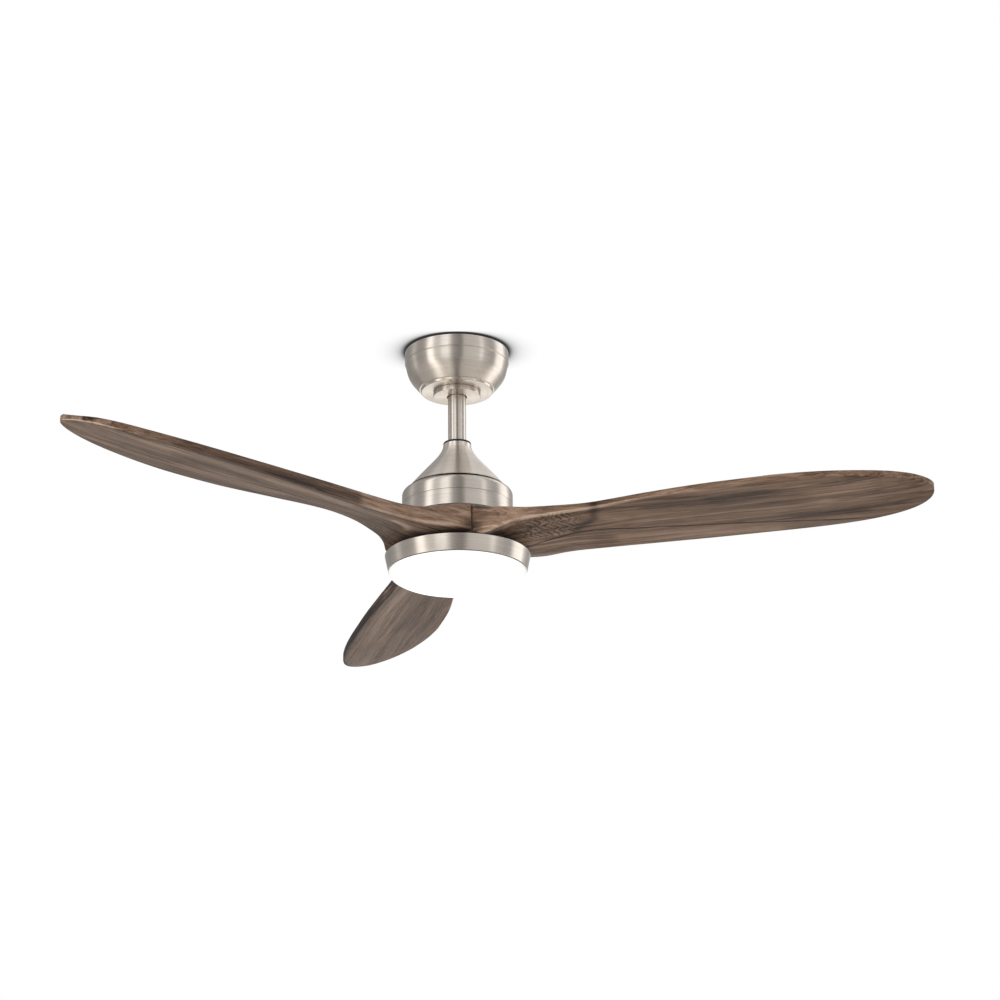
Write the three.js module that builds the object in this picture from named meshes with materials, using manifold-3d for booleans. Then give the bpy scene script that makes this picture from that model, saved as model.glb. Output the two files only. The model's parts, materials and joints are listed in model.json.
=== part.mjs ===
// Ceiling fan with light: ceiling canopy on a U bracket, ball-hung downrod, bell-shaped coupling cover,
// drum motor housing with an outer-rotor motor, three carved wooden blades that meet at the hub,
// and a round light kit with a shallow diffuser.
// Millimetres, +Z up. The origin is the centre of the ceiling face; everything hangs below it.

import * as THREE from 'three';
import { mergeVertices } from 'three/addons/utils/BufferGeometryUtils.js';
import Module from 'manifold-3d';

const wasm = await Module();
wasm.setup();

// ---------------------------------------------------------------- driving dimensions

const GAP = 0.3;                       // clearance kept between pieces that touch
const ROUND = 32;                      // facets round a large turned piece
const MID = 20;                        // facets round a middle-sized one
const SMALL = 8;                       // facets round a pin or a screw
const SHEET = 1.5;                     // wall of the spun metal shells

const CANOPY = { rim: 73.8, top: -3, groove: -20, shelf: -58.4, plate: -62.2, plateRadius: 50.6, hole: 20 };
const DISC = { radius: 33.5, top: -62.5, bottom: -69.5, hole: 14.2 };
const BALL = { centre: -34, radius: 24, halfHeight: 16, bore: 14.2 };
const SEAT = { top: -44, bottom: -47.5, clearance: 0.8 };
const ROD = { radius: 12.7, wall: 1.8, top: -16, bottom: -176 };
const BELL = { top: -142.3, bottom: -210.5, mouth: 69.7, neck: 19.6, rodHole: 13.2 };
const YOKE = { radius: 17, top: -152, flangeTop: -206.7, flangeBottom: -211.7, flangeRadius: 48 };
const HOUSING = { radius: 77.5, top: -212, seam: -233.5, bottom: -256, shoulder: 69.9 };
const SHAFT = { radius: 9, bore: 6, top: -181, bottom: -317 };
const ROTOR = { radius: 66, capTop: -219.5, capBottom: -257.6, magnetOuter: 60.2, magnetInner: 56 };
const STATOR = { radius: 54, top: -230, bottom: -244, teeth: 12, windingInner: 27, windingOuter: 50 };
const BEARING = { inner: 9.4, outer: 17, height: 6.5 };
const HUB = { top: -258, bottom: -298, edgeBottom: -294, hole: 22, seamRadius: 79 };
const CLAMP = { top: -298.3, bottom: -301.3, radius: 52 };
const PAN = { top: -308.5, bottom: -310, radius: 97 };
const RING = { top: -306.7, bottom: -329.3, topRadius: 101.2, bottomRadius: 96.5, flangeInner: 90 };
const DIFFUSER = { edge: -329.6, bottom: -351.5, radius: 96.2, wall: 2.2, rimTop: -319 };
const CANOPY_SCREW_X = 28;
const HOUSING_SCREW_CIRCLE = 38;
const RING_SCREW_CIRCLE = 93.3;
const BLADE_COUNT = 3;
const ROOT_AZIMUTH = THREE.MathUtils.degToRad(-15.5);   // where the first blade's root axis points

// ---------------------------------------------------------------- materials

const material = (color, roughness, metalness) =>
  new THREE.MeshStandardMaterial({ color, roughness, metalness });
const nickel = () => material(0xb5aca2, 0.34, 1.0);
const steel = () => material(0x9a9a98, 0.4, 1.0);
const zinc = () => material(0xb9bab4, 0.45, 1.0);
const black = () => material(0x1a1a1a, 0.7, 0.0);
const walnut = () => material(0x6b4f3c, 0.55, 0.0);
const white = () => material(0xf4f4f2, 0.5, 0.0);

// ---------------------------------------------------------------- solids

const fan = new THREE.Group();

function add(name, geometry, surface) {
  const mesh = new THREE.Mesh(geometry, surface);
  mesh.name = name;
  fan.add(mesh);
  return mesh;
}

// A turned solid about Z from a profile of [radius, z] points. The profile closes on itself, or it
// starts and ends on the axis; its direction is set here so that the faces point outward.
function turned(profile, facets = ROUND) {
  let area = 0;
  profile.forEach(([r, z], i) => {
    const [nextR, nextZ] = profile[(i + 1) % profile.length];
    area += r * nextZ - nextR * z;
  });
  const ordered = area > 0 ? [...profile] : [...profile].reverse();
  const onAxis = ordered[0][0] === 0 && ordered[ordered.length - 1][0] === 0;
  if (!onAxis) ordered.push(ordered[0]);
  const points = ordered.map(([r, z]) => new THREE.Vector2(r, z));
  return new THREE.LatheGeometry(points, facets).rotateX(Math.PI / 2);
}

const tube = (inner, outer, low, high, facets = ROUND) =>
  turned([[inner, low], [outer, low], [outer, high], [inner, high]], facets);

const rod = (radius, low, high, facets = SMALL) =>
  turned([[0, low], [radius, low], [radius, high], [0, high]], facets);

// A pan-head screw with its axis on Z: a domed head below, the shank above it.
function screw({ head, headHeight, shank, headBottom, tip }) {
  const shoulder = headBottom + headHeight;
  const profile = [[0, headBottom], [head * 0.7, headBottom], [head, headBottom + headHeight * 0.5],
    [head, shoulder], [shank, shoulder], [shank, tip], [0, tip]];
  return turned(profile, SMALL);
}

const block = (low, high) => new THREE.BoxGeometry(high[0] - low[0], high[1] - low[1], high[2] - low[2])
  .translate((low[0] + high[0]) / 2, (low[1] + high[1]) / 2, (low[2] + high[2]) / 2);

function toSolid(geometry) {
  const bare = geometry.clone();
  bare.deleteAttribute('normal');
  bare.deleteAttribute('uv');
  const merged = mergeVertices(bare, 1e-4);
  const keep = [];
  const index = merged.index.array;
  for (let i = 0; i < index.length; i += 3) {
    const [a, b, c] = [index[i], index[i + 1], index[i + 2]];
    if (a !== b && b !== c && c !== a) keep.push(a, b, c);
  }
  return new wasm.Manifold(new wasm.Mesh({
    numProp: 3,
    vertProperties: new Float32Array(merged.attributes.position.array),
    triVerts: new Uint32Array(keep),
  }));
}

function toGeometry(solid) {
  const mesh = solid.getMesh();
  const geometry = new THREE.BufferGeometry();
  geometry.setAttribute('position', new THREE.BufferAttribute(new Float32Array(mesh.vertProperties), 3));
  geometry.setIndex(new THREE.BufferAttribute(new Uint32Array(mesh.triVerts), 1));
  geometry.computeVertexNormals();
  return geometry;
}

const cut = (body, ...tools) =>
  toGeometry(tools.reduce((rest, tool) => rest.subtract(toSolid(tool)), toSolid(body)));

const join = (...bodies) => toGeometry(bodies.map(toSolid).reduce((sum, body) => sum.add(body)));

function onCircle(radius, turns) {
  const angle = turns * 2 * Math.PI;
  return [radius * Math.cos(angle), radius * Math.sin(angle)];
}

const threeHoles = (circle, radius, low, high) =>
  [0, 1, 2].map((i) => rod(radius, low, high).translate(...onCircle(circle, i / 3), 0));

// A cubic curve from its four control points, and the points that split it into equal shares.
const curve = (...controls) =>
  new THREE.CubicBezierCurve(...controls.map(([x, y]) => new THREE.Vector2(x, y)));
const pointsOn = (line, pieces) => line.getPoints(pieces).map(({ x, y }) => [x, y]);

// A smooth value along a list of [position, value] stations.
function along(stations, at) {
  const last = stations.length - 1;
  let i = 0;
  while (i < last - 1 && at > stations[i + 1][0]) i += 1;
  const slope = (k) => {
    const before = stations[Math.max(k - 1, 0)];
    const after = stations[Math.min(k + 1, last)];
    return (after[1] - before[1]) / (after[0] - before[0]);
  };
  const [x0, y0] = stations[i];
  const [x1, y1] = stations[i + 1];
  const span = x1 - x0;
  const t = THREE.MathUtils.clamp((at - x0) / span, 0, 1);
  const rise = t * t * (3 - 2 * t);
  return y0 * (1 - rise) + y1 * rise
    + span * (slope(i) * t * (1 - t) * (1 - t) - slope(i + 1) * t * t * (1 - t));
}

// ---------------------------------------------------------------- ceiling side

// Spun bowl: short straight rim with a fine groove, round flank, small step, flat bottom plate.
const CANOPY_FLANK = curve([72.8, -21], [69, -38], [70, -39], [53.2, -58.2]);

function canopy() {
  const { rim, top, groove, shelf, plate, plateRadius, hole } = CANOPY;
  const flank = pointsOn(CANOPY_FLANK, 7);
  const outer = [[rim, top], [rim, groove + 0.5], [rim - 0.7, groove], [rim - 0.4, groove - 0.5], ...flank,
    [plateRadius, shelf], [plateRadius, plate + 0.8], [plateRadius - 0.8, plate]];
  const inner = [[plateRadius - SHEET, plate + SHEET], [plateRadius - SHEET, shelf + SHEET - 0.2],
    ...[...flank].reverse().map(([r, z]) => [r - SHEET - 0.3, z + 0.6]), [rim - SHEET - 0.7, top]];
  const shell = turned([...outer, [hole, plate], [hole, plate + SHEET], ...inner]);
  const holes = [-1, 1].map((side) => rod(2.4, plate - 1, plate + SHEET + 1)
    .translate(CANOPY_SCREW_X * side, 0, 0));
  return cut(shell, ...holes);
}

function coverDisc() {
  const { radius, top, bottom, hole } = DISC;
  return turned([[hole, bottom], [radius - 0.8, bottom], [radius, bottom + 0.8], [radius, top],
    [radius - 1.2, top], [radius - 1.2, bottom + 1.4], [hole, bottom + 1.4]]);
}

// U bracket: top plate with two slots, two legs, and a seat plate whose hole carries the ball.
// The seat is open on one side so that the rod can be swung in.
function hangerBracket() {
  const half = 48;
  const width = 22;
  const thick = 2.5;
  const body = join(
    block([-half, -width, -thick], [half, width, 0]),
    block([-half, -width, SEAT.bottom], [-half + thick, width, 0]),
    block([half - thick, -width, SEAT.bottom], [half, width, 0]),
    block([-half, -width, SEAT.bottom], [half, width, SEAT.top]),
  );
  const seatRadius = (z) => Math.sqrt(BALL.radius ** 2 - (z - BALL.centre) ** 2) + SEAT.clearance;
  const low = seatRadius(SEAT.bottom);
  const high = seatRadius(SEAT.top);
  const seatHole = turned([[0, SEAT.bottom - 1], [low, SEAT.bottom - 1], [low, SEAT.bottom],
    [high, SEAT.top], [high, SEAT.top + 1], [0, SEAT.top + 1]], MID);
  const entry = block([-14.5, 0, SEAT.bottom - 1], [14.5, width + 1, SEAT.top + 1]);
  const slot = (x) => block([x - 9.5, -2.6, -thick - 1], [x + 9.5, 2.6, 1]);
  const wireHole = rod(6, -thick - 1, 1, MID).translate(0, 13, 0);
  const screwHoles = [-1, 1].map((side) => rod(2.4, SEAT.bottom - 1, SEAT.top + 1)
    .translate(CANOPY_SCREW_X * side, 0, 0));
  const earthHole = rod(2.3, -thick - 1, 1).translate(34, 14, 0);
  return cut(body, seatHole, entry, slot(-34.5), slot(34.5), wireHole, ...screwHoles, earthHole);
}

add('hanger_bracket', hangerBracket(), zinc());
add('canopy_gasket', tube(68, 73.2, CANOPY.top + GAP, -0.1), black());
add('canopy', canopy(), nickel());
add('canopy_cover_disc', coverDisc(), nickel());
[-1, 1].forEach((side, i) => {
  const headBottom = CANOPY.plate - GAP - 2.4;
  const geometry = screw({ head: 3.8, headHeight: 2.4, shank: 2, headBottom, tip: -41 });
  add(`canopy_screw_${i + 1}`, geometry.translate(CANOPY_SCREW_X * side, 0, 0), steel());
});
add('receiver_module', block([-34, 25.5, -27], [34, 50, -6]), white());
add('terminal_block', block([-16, -39, -20], [16, -25.5, -6]), white());
{
  const geometry = screw({ head: 4, headHeight: 2.4, shank: 2, headBottom: -2.5 - GAP - 2.4, tip: -0.4 });
  add('ground_screw', geometry.translate(34, 14, 0), material(0x3f7a45, 0.5, 0.6));
}

// ---------------------------------------------------------------- ball, downrod and coupling

function hangerBall() {
  const { centre, radius, halfHeight, bore } = BALL;
  const limit = Math.asin(halfHeight / radius);
  const arc = Array.from({ length: 7 }, (_, i) => {
    const angle = -limit + (2 * limit * i) / 6;
    return [radius * Math.cos(angle), centre + radius * Math.sin(angle)];
  });
  const shell = turned([[bore, centre - halfHeight], ...arc, [bore, centre + halfHeight]], MID);
  return cut(shell, rod(3.6, -radius - 1, radius + 1).rotateY(Math.PI / 2).translate(0, 0, centre));
}

const across = (radius, reach, z) => rod(radius, -reach, reach).rotateY(Math.PI / 2).translate(0, 0, z);
const CLEVIS_Z = -168;

function downrod() {
  const pipe = tube(ROD.radius - ROD.wall, ROD.radius, ROD.bottom, ROD.top, MID);
  return cut(pipe, across(3.4, 20, BALL.centre), across(3.4, 20, CLEVIS_Z));
}

// Trumpet profile of the coupling cover, from the mouth up to the neck.
const BELL_FLANK = curve([BELL.mouth, BELL.bottom], [42, -175], [BELL.neck, -159], [BELL.neck, BELL.top]);

function couplingCover() {
  const outer = pointsOn(BELL_FLANK, 10);
  const thinned = outer.filter((_, i) => i % 2 === 0);
  const inner = thinned.map(([r, z]) => [Math.max(r - SHEET - 1.3, BELL.rodHole + 2.5), z]);
  inner[inner.length - 1][1] = BELL.top - SHEET;
  return turned([...outer, [BELL.rodHole, BELL.top], [BELL.rodHole, BELL.top - SHEET], ...inner.reverse()]);
}

function motorYoke() {
  const { radius, top, flangeTop, flangeBottom, flangeRadius } = YOKE;
  const socket = SHAFT.radius + GAP + 0.1;
  const bore = ROD.radius + GAP + 0.1;
  const body = turned([[bore, top], [bore, ROD.bottom - 1], [socket, ROD.bottom - 1], [socket, flangeBottom],
    [flangeRadius, flangeBottom], [flangeRadius, flangeTop], [radius + 3, flangeTop], [radius, flangeTop + 6],
    [radius, top]], MID);
  const screwHoles = threeHoles(HOUSING_SCREW_CIRCLE, 2.4, flangeBottom - 1, flangeTop + 1);
  const setHoles = rod(2.4, -radius - 1, radius + 1).rotateX(Math.PI / 2).translate(0, 0, -157);
  return cut(body, across(3.4, radius + 1, CLEVIS_Z), setHoles, ...screwHoles);
}

add('hanger_ball', hangerBall(), material(0x2b2b2d, 0.55, 0.0));
add('downrod', downrod(), nickel());
add('hanger_pin', across(3, 22, BALL.centre), steel());
add('neck_ring', tube(13.2, 19.8, BELL.top + GAP, BELL.top + 3, MID), black());
add('coupling_cover', couplingCover(), nickel());
add('motor_yoke', motorYoke(), zinc());

// Clevis pin: head at -X, a cross hole for the clip at +X.
{
  const pin = join(rod(3, -19, 22).rotateY(Math.PI / 2), rod(5, -21.5, -18.5).rotateY(Math.PI / 2));
  const clipHole = rod(1.1, CLEVIS_Z - 4, CLEVIS_Z + 4).translate(19.6, 0, 0);
  add('clevis_pin', cut(pin.translate(0, 0, CLEVIS_Z), clipHole), steel());
}
{
  const straight = rod(0.7, CLEVIS_Z - 7, CLEVIS_Z + 4.5).translate(19.6, 0, 0);
  const eye = new THREE.TorusGeometry(2.4, 0.7, 6, 14).rotateY(Math.PI / 2);
  add('clevis_clip', join(straight, eye.translate(19.6, 0, CLEVIS_Z + 6.6)), steel());
}
[-1, 1].forEach((side, i) => {
  const geometry = rod(2, ROD.radius + GAP, 20.5).rotateX((-side * Math.PI) / 2).translate(0, 0, -157);
  add(`set_screw_${i + 1}`, geometry, steel());
});

// ---------------------------------------------------------------- motor housing

function housingUpper() {
  const { radius, top, seam, shoulder } = HOUSING;
  const corner = radius - shoulder;
  const arc = Array.from({ length: 4 }, (_, i) => {
    const angle = (Math.PI / 2) * (1 - i / 3);
    return [shoulder + corner * Math.cos(angle), top - corner + corner * Math.sin(angle)];
  });
  const lip = arc.map(([r, z]) => [r - SHEET, z - SHEET * 0.8]).reverse();
  const shell = turned([[12, top], ...arc, [radius, seam + 0.15], [radius - SHEET, seam + 0.15], ...lip,
    [12, top - SHEET]]);
  return cut(shell, ...threeHoles(HOUSING_SCREW_CIRCLE, 2.4, top - SHEET - 1, top + 1));
}

function housingLower() {
  const { radius, seam, bottom } = HOUSING;
  return turned([[70.5, bottom], [radius - 0.6, bottom], [radius, bottom + 0.6], [radius, seam - 0.15],
    [radius - SHEET, seam - 0.15], [radius - SHEET, bottom + SHEET], [70.5, bottom + SHEET]]);
}

add('housing_upper', housingUpper(), nickel());
add('housing_lower', housingLower(), nickel());
for (let i = 0; i < 3; i += 1) {
  const tip = YOKE.flangeTop + GAP + 2.4;
  const geometry = screw({ head: 4, headHeight: 2.4, shank: 2, headBottom: -tip, tip: 215.6 })
    .rotateX(Math.PI).translate(...onCircle(HOUSING_SCREW_CIRCLE, i / 3), 0);
  add(`housing_screw_${i + 1}`, geometry, steel());
}

// ---------------------------------------------------------------- motor

function statorCore() {
  const { radius, top, bottom, teeth } = STATOR;
  const outline = new THREE.Shape();
  const pitch = (2 * Math.PI) / teeth;
  const corners = [[26, -0.5], [26, -0.28], [radius - 5, -0.28], [radius - 4, -0.44], [radius, -0.44],
    [radius, 0.44], [radius - 4, 0.44], [radius - 5, 0.28], [26, 0.28]];
  for (let i = 0; i < teeth; i += 1) {
    corners.forEach(([r, share], k) => {
      const turn = (i + share) * pitch;
      const place = [r * Math.cos(turn), r * Math.sin(turn)];
      if (i === 0 && k === 0) outline.moveTo(...place);
      else outline.lineTo(...place);
    });
  }
  outline.closePath();
  const bore = new THREE.Path();
  bore.absarc(0, 0, SHAFT.radius + GAP, 0, 2 * Math.PI, true);
  outline.holes.push(bore);
  const options = { depth: top - bottom, bevelEnabled: false, curveSegments: 12 };
  return new THREE.ExtrudeGeometry(outline, options).translate(0, 0, bottom);
}

const winding = (low, high) => {
  const { windingInner: inner, windingOuter: outer } = STATOR;
  return turned([[inner, low], [inner + 1.5, high], [outer - 1.5, high], [outer, low]], MID);
};

function rotorCap(plateTop, plateBottom, pocketEnd) {
  const lip = 12;
  const wall = 3;
  const pocket = BEARING.outer + 0.1;
  const inward = Math.sign(pocketEnd - plateTop);
  const face = inward > 0 ? plateTop : plateBottom;
  const back = inward > 0 ? plateBottom : plateTop;
  const shelf = back + inward * 1.5;
  return turned([[lip, back], [ROTOR.radius, back], [ROTOR.radius, face], [pocket + wall, face],
    [pocket + wall, pocketEnd], [pocket, pocketEnd], [pocket, shelf], [lip, shelf]]);
}

const SCREW_CIRCLE = 38;
const SCREW_SPREAD = THREE.MathUtils.degToRad(28);
const bladeAxis = (i) => ROOT_AZIMUTH + (i * 2 * Math.PI) / BLADE_COUNT;
const screwPlaces = [];
for (let i = 0; i < BLADE_COUNT; i += 1) {
  [-1, 1].forEach((side) => {
    const azimuth = bladeAxis(i) + side * SCREW_SPREAD;
    screwPlaces.push([SCREW_CIRCLE * Math.cos(azimuth), SCREW_CIRCLE * Math.sin(azimuth)]);
  });
}
const bladeScrewHoles = (low, high) => screwPlaces.map(([x, y]) => rod(2.8, low, high).translate(x, y, 0));

add('motor_shaft', tube(SHAFT.bore, SHAFT.radius, SHAFT.bottom, SHAFT.top, MID), steel());
add('motor_control_board', tube(20, 56, -217.6, -216.4, MID), material(0x2f5a3a, 0.6, 0.0));
add('upper_bearing', tube(BEARING.inner, BEARING.outer, -221.3 - BEARING.height, -221.3, MID), steel());
add('rotor_cap_top', rotorCap(ROTOR.capTop, ROTOR.capTop - 2, -227), steel());
add('rotor_ring', tube(ROTOR.magnetOuter + GAP, ROTOR.radius, -252, ROTOR.capTop - 2 - GAP), steel());
add('rotor_magnets', tube(ROTOR.magnetInner, ROTOR.magnetOuter, -246, -228), material(0x3a3a3e, 0.5, 0.3));
add('stator_core', statorCore(), material(0x6f7276, 0.5, 0.8));
add('stator_winding_upper', winding(STATOR.top + GAP, -228), material(0xb0622c, 0.4, 0.8));
{
  const lower = winding(-STATOR.bottom + GAP, 246.5).rotateX(Math.PI);
  add('stator_winding_lower', lower, material(0xb0622c, 0.4, 0.8));
}
add('lower_bearing', tube(BEARING.inner, BEARING.outer, -255.8, -255.8 + BEARING.height, MID), steel());
{
  const plate = rotorCap(-252.3, ROTOR.capBottom, -249.5);
  add('rotor_cap_bottom', cut(plate, ...bladeScrewHoles(ROTOR.capBottom - 1, -251)), steel());
}

// ---------------------------------------------------------------- blades

// Stations along the blade's root axis, u outward in millimetres. v is across: the leading edge is at
// negative v and the trailing edge at positive v. The underside of a station is a straight line that
// falls from the leading to the trailing edge by `twist` per millimetre; `lift` is its height at v = 0.
const SEAM = { u: HUB.seamRadius * 0.5, v: HUB.seamRadius * Math.sqrt(0.75) };
const LEAD = [[SEAM.u, -SEAM.v], [75, -63], [110, -57.5], [150, -51.5], [200, -51.5], [280, -67],
  [360, -79], [450, -84.5]];
const TRAIL = [[SEAM.u, SEAM.v], [75, 63], [110, 57], [150, 49], [200, 46.5], [280, 48.5],
  [360, 50.5], [450, 49.3]];
const TWIST = [[SEAM.u, 0], [55, 0], [75, 0.06], [110, 0.16], [150, 0.226], [200, 0.258], [280, 0.225],
  [360, 0.188], [450, 0.179], [560, 0.197], [660, 0.214]];
const LIFT = [[SEAM.u, HUB.edgeBottom], [55, HUB.edgeBottom], [75, -292], [110, -290.4], [150, -287.8],
  [200, -286.9], [280, -287.2], [360, -287.8], [450, -288], [560, -287.1], [620, -285.2], [660, -283]];
const HUB_HEIGHT = HUB.top - HUB.edgeBottom;
const LEAD_HEIGHT = [[SEAM.u, HUB_HEIGHT], [75, 26], [110, 16.5], [150, 11.8], [200, 8.8], [280, 7.9],
  [360, 9.3], [450, 10], [560, 9.2], [630, 9.2], [660, 7.5]];
const TRAIL_HEIGHT = [[SEAM.u, HUB_HEIGHT], [55, 35], [75, 31], [110, 23.5], [150, 19.3], [200, 19],
  [280, 16.6], [360, 13.8], [450, 12.3], [560, 11.2], [630, 9.4], [660, 5.6]];
const CROWN = [[SEAM.u, 0], [75, 5], [110, 8], [200, 8], [360, 7], [450, 6.5], [660, 1.5]];
const BELLY = [[SEAM.u, HUB.edgeBottom - HUB.bottom], [75, 4], [110, 3], [200, 1], [450, 0.6], [660, 0]];
// Near the hub the leading edge's lower corner flares: down by `drop` and outward by `flare`.
const FLARE_DROP = [[SEAM.u, 2], [50, 6], [60, 9], [70, 8], [80, 4], [92, 0.8], [110, 0], [150, 0]];
const FLARE_OUT = [[SEAM.u, 0], [50, 3], [60, 7], [70, 8], [80, 3], [92, 0.5], [110, 0], [150, 0]];
const TIP = [659.5, -16];
const LEAD_TIP = curve([450, -84.5], [584, -84.5], [TIP[0], -42], TIP);
const TRAIL_TIP = curve([450, 49.3], [610, 46], [TIP[0], 24], TIP);

function bladeEdges() {
  const edges = [];
  const halfGap = GAP / 2;
  [9, 24, SEAM.u].forEach((u) => {
    const reach = (u - halfGap / Math.sin(Math.PI / 3)) * Math.tan(Math.PI / 3);
    edges.push([[u, -reach], [u, reach]]);
  });
  [50, 62, 76, 92, 110, 132, 158, 200, 250, 310, 380, 450].forEach((u) => {
    edges.push([[u, along(LEAD, u)], [u, along(TRAIL, u)]]);
  });
  [0.25, 0.45, 0.62, 0.76, 0.88, 0.95, 0.985].forEach((t) => {
    const lead = LEAD_TIP.getPoint(t);
    const trail = TRAIL_TIP.getPoint(t);
    edges.push([[lead.x, lead.y], [trail.x, trail.y]]);
  });
  return edges;
}

function bladeSection([lead, trail]) {
  const across = 4;
  const bottom = [];
  const top = [];
  for (let k = 0; k <= across; k += 1) {
    const w = k / across;
    const u = THREE.MathUtils.lerp(lead[0], trail[0], w);
    const v = THREE.MathUtils.lerp(lead[1], trail[1], w);
    const at = Math.max(u, SEAM.u);
    const bow = Math.sin(Math.PI * w);
    const under = along(LIFT, at) - v * along(TWIST, at);
    const height = THREE.MathUtils.lerp(along(LEAD_HEIGHT, at), along(TRAIL_HEIGHT, at), w);
    const drop = k === 0 ? along(FLARE_DROP, at) : 0;
    const flare = k === 0 && u >= SEAM.u ? along(FLARE_OUT, at) : 0;
    bottom.push([u, v - flare, under - drop - along(BELLY, at) * Math.min(1, 1.6 * bow)]);
    top.push([u, v, Math.min(HUB.top, under + height + along(CROWN, at) * bow)]);
  }
  return [...bottom, ...top.reverse()];
}

function bladeBody() {
  const rings = bladeEdges().map(bladeSection);
  const size = rings[0].length;
  const index = [];
  const triangle = (a, b, c) => index.push(a, c, b);
  for (let i = 0; i < rings.length - 1; i += 1) {
    for (let k = 0; k < size; k += 1) {
      const next = (k + 1) % size;
      const [a, b] = [i * size + k, i * size + next];
      triangle(a, b + size, b);
      triangle(a, a + size, b + size);
    }
  }
  const half = size / 2;
  const last = (rings.length - 1) * size;
  for (let k = 0; k < half - 1; k += 1) {
    const [a, b, c, d] = [k, k + 1, size - 2 - k, size - 1 - k];
    triangle(a, b, c);
    triangle(a, c, d);
    triangle(last + a, last + c, last + b);
    triangle(last + a, last + d, last + c);
  }
  const geometry = new THREE.BufferGeometry();
  geometry.setAttribute('position', new THREE.Float32BufferAttribute(rings.flat(2), 3));
  geometry.setIndex(index);
  return geometry;
}

function blade() {
  const holes = [-1, 1].map((side) => rod(2.9, HUB.bottom - 2, HUB.top + 1)
    .translate(SCREW_CIRCLE, 0, 0).rotateZ(side * SCREW_SPREAD));
  return cut(bladeBody(), rod(HUB.hole, HUB.bottom - 2, HUB.top + 1, MID), ...holes);
}

for (let i = 0; i < BLADE_COUNT; i += 1) {
  add(`blade_${i + 1}`, blade(), walnut()).rotation.z = bladeAxis(i);
}
{
  const plate = tube(HUB.hole, CLAMP.radius, CLAMP.bottom, CLAMP.top, MID);
  add('blade_clamp_plate', cut(plate, ...bladeScrewHoles(CLAMP.bottom - 1, CLAMP.top + 1)), zinc());
}
screwPlaces.forEach(([x, y], i) => {
  const headBottom = CLAMP.bottom - GAP - 2.4;
  const geometry = screw({ head: 4.5, headHeight: 2.4, shank: 2.4, headBottom, tip: -252 });
  add(`blade_screw_${i + 1}`, geometry.translate(x, y, 0), steel());
});

// ---------------------------------------------------------------- light kit

function lightPan() {
  const bore = SHAFT.radius + GAP;
  const plate = turned([[bore, PAN.bottom], [PAN.radius, PAN.bottom], [PAN.radius, PAN.top], [14, PAN.top],
    [14, -304.6], [bore, -304.6]]);
  return cut(plate, ...threeHoles(RING_SCREW_CIRCLE, 2.1, PAN.bottom - 1, PAN.top + 1));
}

function lightRing() {
  const { top, bottom, topRadius, bottomRadius, flangeInner } = RING;
  const shell = turned([[flangeInner, top], [topRadius - 0.6, top], [topRadius, top - 0.6],
    [bottomRadius, bottom], [bottomRadius - 0.9, bottom], [topRadius - SHEET - 0.6, top - SHEET],
    [flangeInner, top - SHEET]]);
  return cut(shell, ...threeHoles(RING_SCREW_CIRCLE, 2.1, top - SHEET - 1, top + 1));
}

// Bowl-shaped cover: straight rim inside the ring, shallow elliptical face below it.
function diffuser() {
  const { edge, bottom, radius, wall, rimTop } = DIFFUSER;
  const steps = 7;
  const face = (outerRadius, low, high) => Array.from({ length: steps + 1 }, (_, i) => {
    const angle = (Math.PI / 2) * (i / steps);
    return [outerRadius * Math.sin(angle), high - (high - low) * Math.cos(angle)];
  });
  const rim = 93.4;
  const outside = face(radius, bottom, edge);
  const inside = face(rim - wall, bottom + wall, edge + 1).reverse();
  return turned([...outside, [rim, edge], [rim, rimTop], [rim - wall, rimTop], ...inside]);
}

add('light_pan', lightPan(), white());
add('light_ring', lightRing(), nickel());
for (let i = 0; i < 3; i += 1) {
  const headBottom = PAN.bottom - GAP - 2;
  const geometry = screw({ head: 3.4, headHeight: 2, shank: 1.8, headBottom, tip: RING.top - 0.2 });
  add(`ring_screw_${i + 1}`, geometry.translate(...onCircle(RING_SCREW_CIRCLE, i / 3), 0), steel());
}
{
  const bore = rod(SHAFT.radius + GAP, -317, PAN.bottom, MID);
  add('shaft_nut', cut(rod(14, -316, PAN.bottom - GAP, 6), bore), steel());
}
add('led_driver', block([22, -17, -321], [58, 17, PAN.bottom - GAP]), material(0x2a2a2a, 0.6, 0.0));
for (let i = 0; i < 3; i += 1) {
  const post = rod(3, -323.2, PAN.bottom - GAP).translate(...onCircle(78, (i + 0.5) / 3), 0);
  add(`led_standoff_${i + 1}`, post, steel());
}
add('led_board', tube(18, 86, -325, -323.5), material(0xe9e9e6, 0.5, 0.0));
add('diffuser', diffuser(), material(0xfdfdfb, 0.5, 0.0));

export default fan;
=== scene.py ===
import json
import math

import bpy
import numpy as np
from mathutils import Matrix, Vector


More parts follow.
